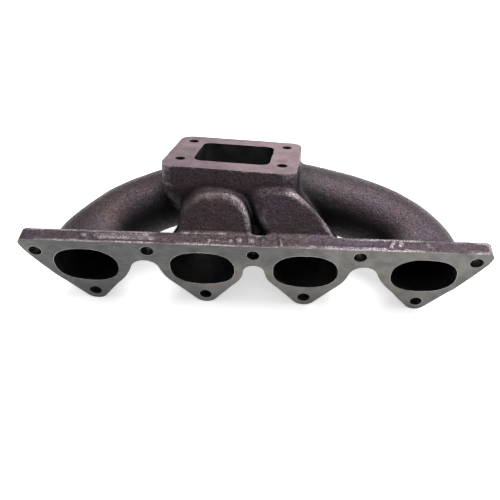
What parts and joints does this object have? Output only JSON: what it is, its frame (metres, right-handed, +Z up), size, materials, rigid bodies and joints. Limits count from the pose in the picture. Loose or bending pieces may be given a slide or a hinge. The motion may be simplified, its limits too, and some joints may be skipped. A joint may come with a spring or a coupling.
{
  "type": "exhaust manifold",
  "caption": "Cast-iron exhaust manifold: a long gasket flange with oval ports, curved runners, and a collector under a square-bolted turbo flange.",
  "frame": {"origin": "on the gasket face, midway between the two middle ports, in the web between the middle notch and the middle upper stud hole", "axes": "+X along the cylinder head, to the right as seen from the head; +Y out of the head, square to the gasket face; +Z up, towards the turbo flange"},
  "size_m": [0.366, 0.1286, 0.1067],
  "materials": {
    "cast_skin": "sand-cast skin, dark brown-grey, rough, finely sparkling",
    "gasket_face": "ground gasket face, grey, fine grinding marks, burred bright edges",
    "turbo_face": "milled turbo face, pinkish light grey, faint stains"
  },
  "bodies": {
    "root": {"head_flange": "gasket_face", "runner_1": "cast_skin", "runner_2": "cast_skin", "runner_3": "cast_skin", "runner_4": "cast_skin", "collector_throat": "cast_skin", "collector_bowl": "cast_skin", "turbo_flange": "turbo_face"}
  },
  "joints": []
}
